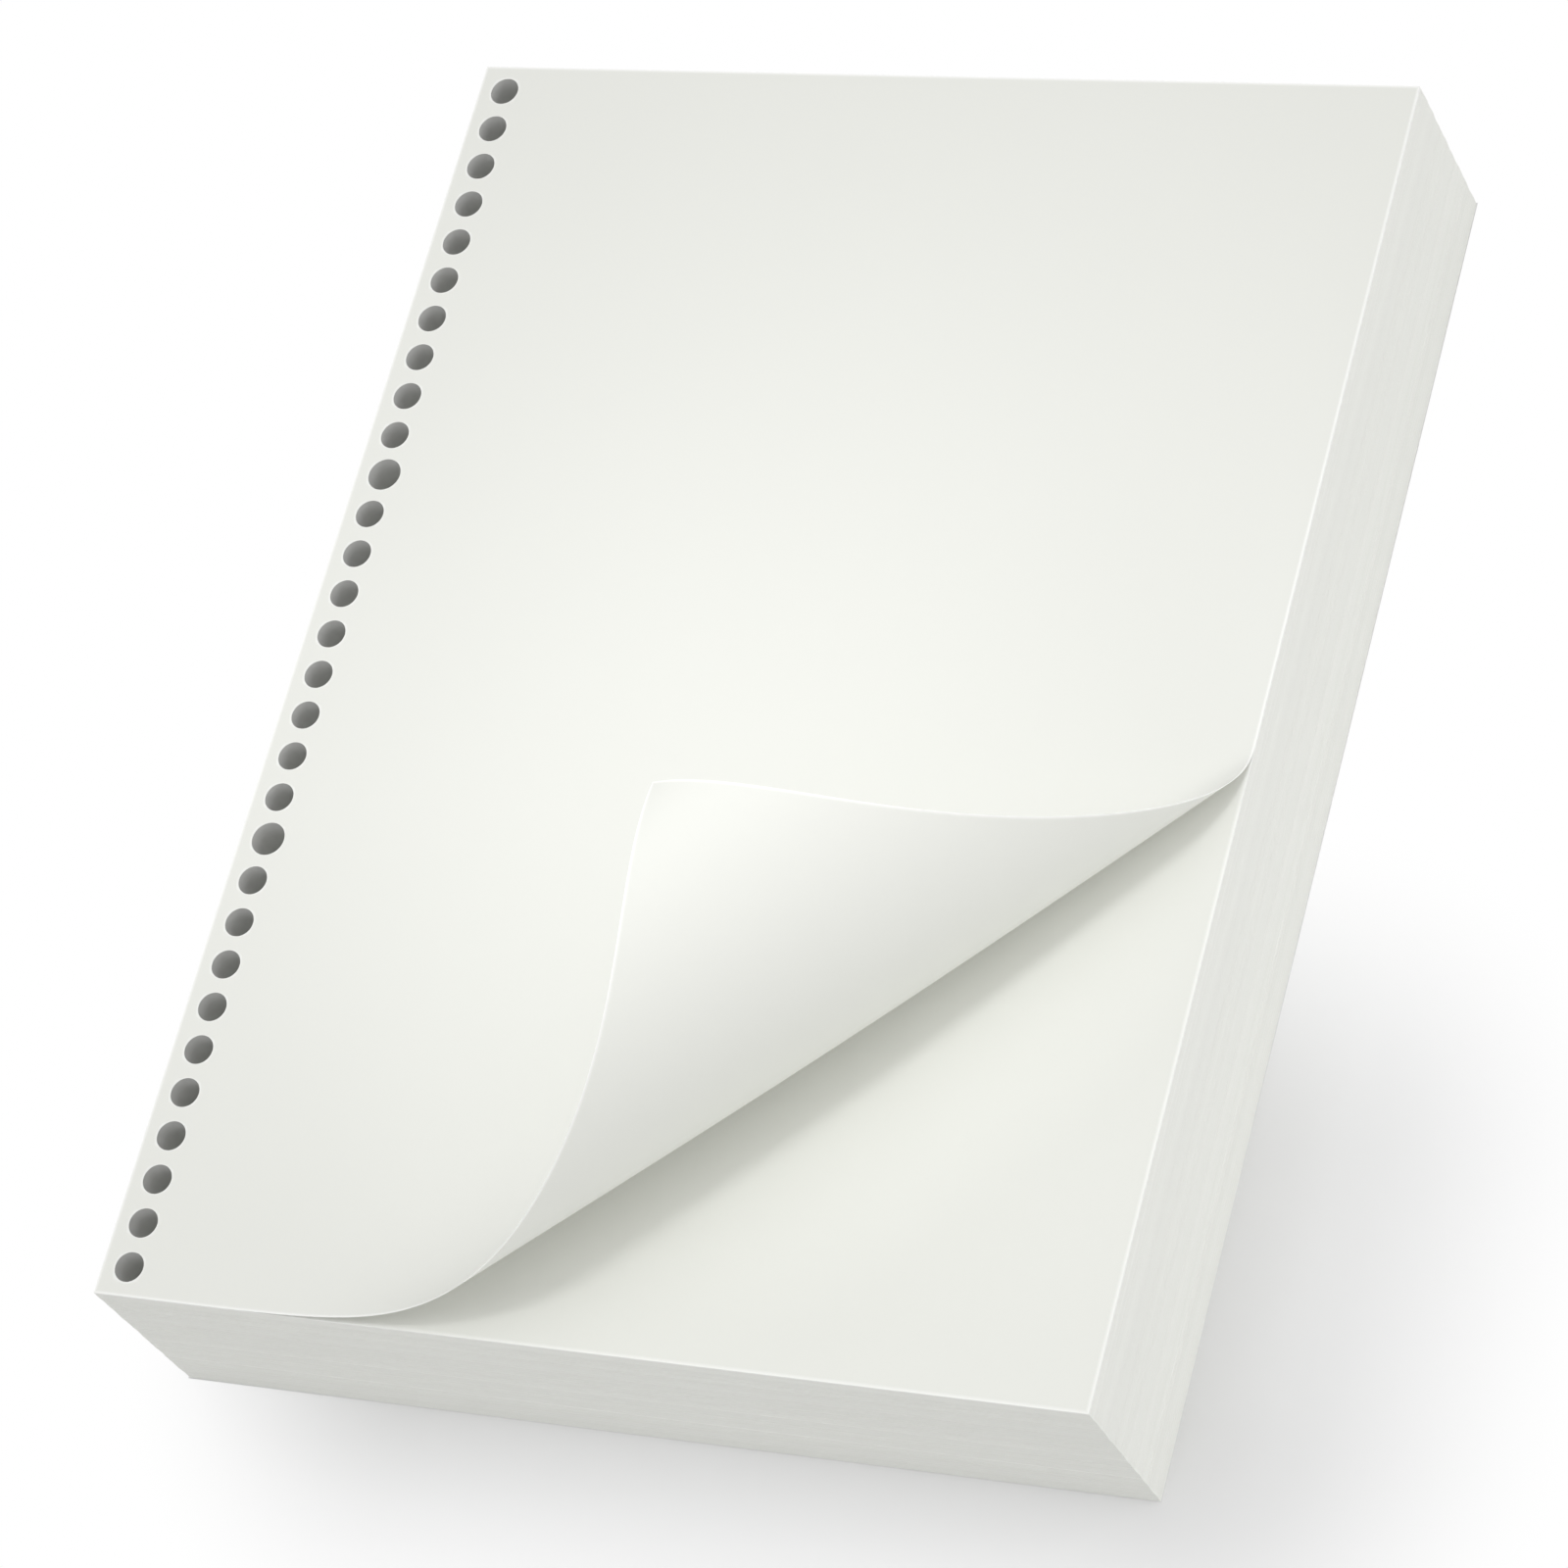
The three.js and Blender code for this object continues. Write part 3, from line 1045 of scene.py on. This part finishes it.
def floor_material():
    """White to the camera, but for a painted shadow about the foot of the stack.

    Seen straight, it is a grey diffuse surface there, under the lamps, so that the soft
    shadow that the stack throws shows in it too, and the grey fades to even white with
    the distance from there. Under the stack it stays the grey diffuse, so that it is
    dim down the punched holes. To all else it is pale card.
    """
    material, tree, surface = empty_material("Studio floor")
    card = add_node(tree, "ShaderNodeBsdfDiffuse", {"Color": FLOOR_CARD})
    painted_light = add_node(tree, "ShaderNodeBsdfDiffuse", {"Color": FLOOR_PAINTED_SHADOW})
    white = add_node(tree, "ShaderNodeEmission", {"Color": WHITE, "Strength": 1.0})
    place = add_node(tree, "ShaderNodeTexCoord").outputs["Object"]
    parts = add_node(tree, "ShaderNodeSeparateXYZ", {0: place})
    gaps, under = [], []
    for axis, middle, half, edge in zip("XY", SHADOW_MIDDLE, SHADOW_HALF, STACK_HIGH):
        reach = math_node(tree, "SUBTRACT", parts.outputs[axis], middle)
        reach = math_node(tree, "ABSOLUTE", reach)
        gap = math_node(tree, "SUBTRACT", reach, half)
        gap = math_node(tree, "MAXIMUM", gap, 0.0)
        gaps.append(math_node(tree, "POWER", gap, 2.0))
        out = math_node(tree, "ABSOLUTE", parts.outputs[axis])
        under.append(math_node(tree, "LESS_THAN", out, edge))
    away = math_node(tree, "SQRT", math_node(tree, "ADD", *gaps))
    border = {"Value": away, "From Min": 0.0, "From Max": SHADOW_BORDER}
    fade = add_node(tree, "ShaderNodeMapRange", border, interpolation_type="SMOOTHSTEP")
    covered = math_node(tree, "MULTIPLY", *under)
    plain = math_node(tree, "MULTIPLY_ADD", covered, -1.0, fade.outputs[0], clamp=True)
    ways = {0: plain, 1: painted_light.outputs[0], 2: white.outputs[0]}
    open_floor = add_node(tree, "ShaderNodeMixShader", ways)
    seen = add_node(tree, "ShaderNodeLightPath").outputs["Is Camera Ray"]
    ways = {0: seen, 1: card.outputs[0], 2: open_floor.outputs[0]}
    mix = add_node(tree, "ShaderNodeMixShader", ways)
    tree.links.new(mix.outputs[0], surface)
    return material


def paper_groups():
    """The fibre group and the painted highlight's rim group, made the first time they are asked
    for.
    """
    groups = bpy.data.node_groups
    return groups.get("Paper fibre") or fibre_group(), groups.get("Page rim") or rim_highlight_group()


# Studio


def add_light(scene, lamp, place, aim):
    """Puts a lamp in the scene, facing a point."""
    lamp_object = bpy.data.objects.new(lamp.name, lamp)
    scene.collection.objects.link(lamp_object)
    lamp_object.location = place
    way = Vector(place) - Vector(aim)
    lamp_object.rotation_euler = way.to_track_quat("Z", "Y").to_euler()


def add_lamp(scene, name, power, size, place):
    """A square area lamp that faces the stack."""
    lamp = bpy.data.lights.new(name, "AREA")
    lamp.energy = power
    lamp.size = size
    add_light(scene, lamp, place, LAMP_AIM)


def add_pool(scene, power):
    """A soft round pool of light on the middle of the page."""
    lamp = bpy.data.lights.new("Pool", "SPOT")
    lamp.energy = power
    lamp.spot_size = POOL_SPREAD
    lamp.spot_blend = 1.0
    lamp.shadow_soft_size = POOL_RADIUS
    add_light(scene, lamp, POOL_PLACE, POOL_AIM)


def studio_world(strength):
    """Even white light, and a white background where the camera sees it."""
    world = bpy.data.worlds.new("Studio sky")
    world.use_nodes = True
    tree = world.node_tree
    tree.nodes.clear()
    seen = add_node(tree, "ShaderNodeLightPath").outputs["Is Camera Ray"]
    level = add_node(tree, "ShaderNodeMapRange", {"Value": seen, "To Min": strength, "To Max": 1.0})
    sky = add_node(
        tree,
        "ShaderNodeBackground",
        {"Color": WHITE, "Strength": level.outputs[0]},
    )
    output = tree.nodes.new("ShaderNodeOutputWorld")
    tree.links.new(sky.outputs[0], output.inputs["Surface"])
    return world


def add_camera(scene):
    """The camera at the photograph's angle, as measured from the stack's corners."""
    camera = bpy.data.cameras.new("Camera")
    camera.lens = 139.707
    camera.sensor_width = 36.0
    camera_object = bpy.data.objects.new("Camera", camera)
    scene.collection.objects.link(camera_object)
    right = (0.90245, 0.2509, -0.35019)
    up = (-0.06867, 0.88627, 0.45804)
    back = (0.42529, -0.38931, 0.81705)
    turn = Matrix((right, up, back)).transposed().to_4x4()
    camera_object.matrix_world = Matrix.Translation((0.5205, -0.4883, 1.0235)) @ turn
    scene.camera = camera_object


# Operators


class RefillStack(bpy.types.Operator):
    """Builds the stack of sheets below the top one"""

    bl_idname = "refill_paper.stack"
    bl_label = "Stack of sheets"

    def execute(self, context):
        settings = context.scene.refill_paper
        points, faces, in_hole = stack_solid(settings.sheet, settings.stack)
        mesh = new_mesh("sheet_stack", points, faces, {"in_hole": in_hole})
        material = paper_stack_material(settings, *paper_groups())
        new_piece("sheet_stack", mesh, material, "sheet_block")
        return {"FINISHED"}


class RefillTopSheet(bpy.types.Operator):
    """Builds the top sheet with its curled corner"""

    bl_idname = "refill_paper.top_sheet"
    bl_label = "Top sheet"

    def execute(self, context):
        settings = context.scene.refill_paper
        sheet = settings.sheet
        outline, faces, places, facing, rim = page(sheet, settings.curl)
        places = places + np.array((0.0, 0.0, STACK_TOP + SHEET_GAP))
        points, triangles, is_wall, flat_place, rims = thick_sheet(
            outline, faces, places, facing, rim, sheet.caliper
        )
        mesh = new_mesh(
            "curled_sheet",
            points,
            triangles,
            corner_values={"cut_wall": is_wall},
            point_values={"page_place": flat_place, "hole_rim": rims},
        )
        material = paper_sheet_material(settings, *paper_groups())
        new_piece("curled_sheet", mesh, material, "top_sheet")
        return {"FINISHED"}


class RefillStage(bpy.types.Operator):
    """Builds the floor, the soft light and the camera"""

    bl_idname = "refill_paper.stage"
    bl_label = "Studio"

    def execute(self, context):
        scene = context.scene
        studio = scene.refill_paper.studio
        corners = [(x * FLOOR_HALF, y * FLOOR_HALF, 0) for x, y in FLOOR_CORNERS]
        mesh = bpy.data.meshes.new("studio_floor")
        mesh.from_pydata(corners, [], [(0, 1, 2, 3)])
        floor = bpy.data.objects.new("studio_floor", mesh)
        scene.collection.objects.link(floor)
        mesh.materials.append(floor_material())

        scene.world = studio_world(studio.sky)
        for name, size, place in LAMPS:
            add_lamp(scene, name, getattr(studio, name.lower()), size, place)
        add_pool(scene, studio.pool)
        add_camera(scene)
        scene.view_settings.view_transform = "Standard"
        return {"FINISHED"}


class RefillPanel(bpy.types.Panel):
    """Lists the refill paper's sizes and colours, and the steps that build it."""

    bl_idname = "VIEW3D_PT_refill_paper"
    bl_label = "Refill paper"
    bl_space_type = "VIEW_3D"
    bl_region_type = "UI"
    bl_category = "Refill paper"

    def draw(self, context):
        settings = context.scene.refill_paper
        for operator in (RefillStack, RefillTopSheet, RefillStage):
            self.layout.operator(operator.bl_idname)
        for name in ("sheet", "stack", "curl", "colours", "studio"):
            group = getattr(settings, name)
            box = self.layout.box()
            box.label(text=name.capitalize())
            for key in group.__annotations__:
                box.prop(group, key)


CLASSES = (
    PaperSheetSizes,
    PaperStackSizes,
    PaperCurlSizes,
    PaperColours,
    PaperStudio,
    PaperSettings,
    RefillStack,
    RefillTopSheet,
    RefillStage,
    RefillPanel,
)


def register():
    for cls in CLASSES:
        bpy.utils.register_class(cls)
    bpy.types.Scene.refill_paper = bpy.props.PointerProperty(type=PaperSettings)


def unregister():
    del bpy.types.Scene.refill_paper
    for cls in reversed(CLASSES):
        bpy.utils.unregister_class(cls)


def main():
    """Builds the stack, the top sheet and the studio."""
    register()
    bpy.ops.refill_paper.stack()
    bpy.ops.refill_paper.top_sheet()
    bpy.ops.refill_paper.stage()


if __name__ == "__main__":
    main()
